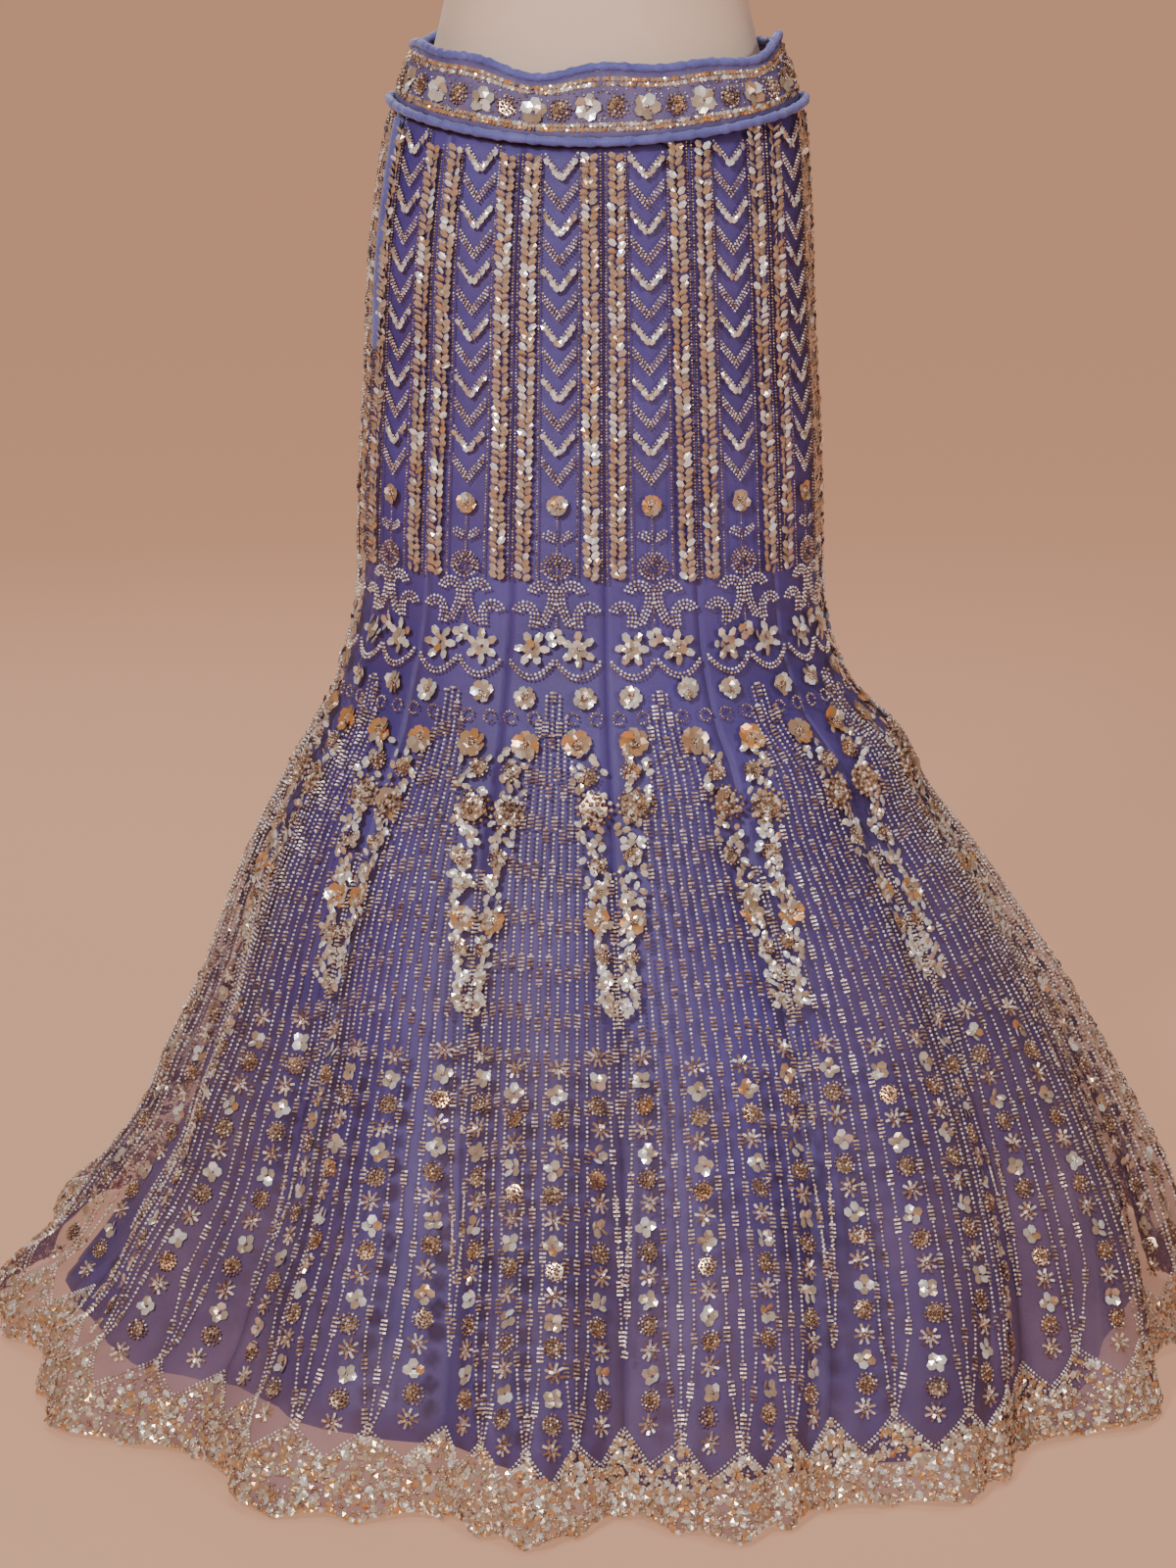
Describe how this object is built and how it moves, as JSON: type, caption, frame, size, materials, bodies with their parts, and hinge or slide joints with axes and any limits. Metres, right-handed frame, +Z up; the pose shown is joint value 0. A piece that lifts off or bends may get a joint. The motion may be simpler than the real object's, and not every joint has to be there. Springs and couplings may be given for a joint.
{
  "type": "lehenga skirt on dress form",
  "caption": "Mermaid lehenga skirt with a bead-embroidered net layer flaring from the knee over a satin lining, worn by a limbless dress form on a stand",
  "frame": {"origin": "on the floor, under the middle of the whole part's box", "axes": "+Z up, the front of the skirt faces -Y, +X is the wearer's left"},
  "size_m": [0.9724, 1.0026, 1.515],
  "materials": {
    "net": "fine soft net over the lining, semi-sheer where it stands off it",
    "satin": "periwinkle violet satin with a soft sheen",
    "beadwork": "net covered with champagne beads, pearls, bugles and sequins",
    "piping": "folded violet-blue crepe binding",
    "form_linen": "smooth matt beige jersey cover with fine seams",
    "form_wood": "turned and varnished neck cap",
    "form_steel": "brushed steel pole and foot"
  },
  "bodies": {
    "root": {"net_gore_01": "net", "net_gore_02": "net", "net_gore_03": "net", "net_gore_04": "net", "net_gore_05": "net", "net_gore_06": "net", "net_gore_07": "net", "net_gore_08": "net", "net_gore_09": "net", "net_gore_10": "net", "net_gore_11": "net", "net_gore_12": "net", "net_gore_13": "net", "net_gore_14": "net", "lining_gore_01": "satin", "lining_gore_02": "satin", "lining_gore_03": "satin", "lining_gore_04": "satin", "lining_gore_05": "satin", "lining_gore_06": "satin", "lining_gore_07": "satin", "lining_gore_08": "satin", "lining_gore_09": "satin", "lining_gore_10": "satin", "lining_gore_11": "satin", "lining_gore_12": "satin", "lining_gore_13": "satin", "lining_gore_14": "satin", "waistband_front": "beadwork", "waistband_back": "beadwork", "piping_top": "piping", "piping_waist": "piping", "side_placket": "piping", "form_torso": "form_linen", "form_neck_cap": "form_wood", "form_pole": "form_steel", "form_foot": "form_steel"}
  },
  "joints": []
}
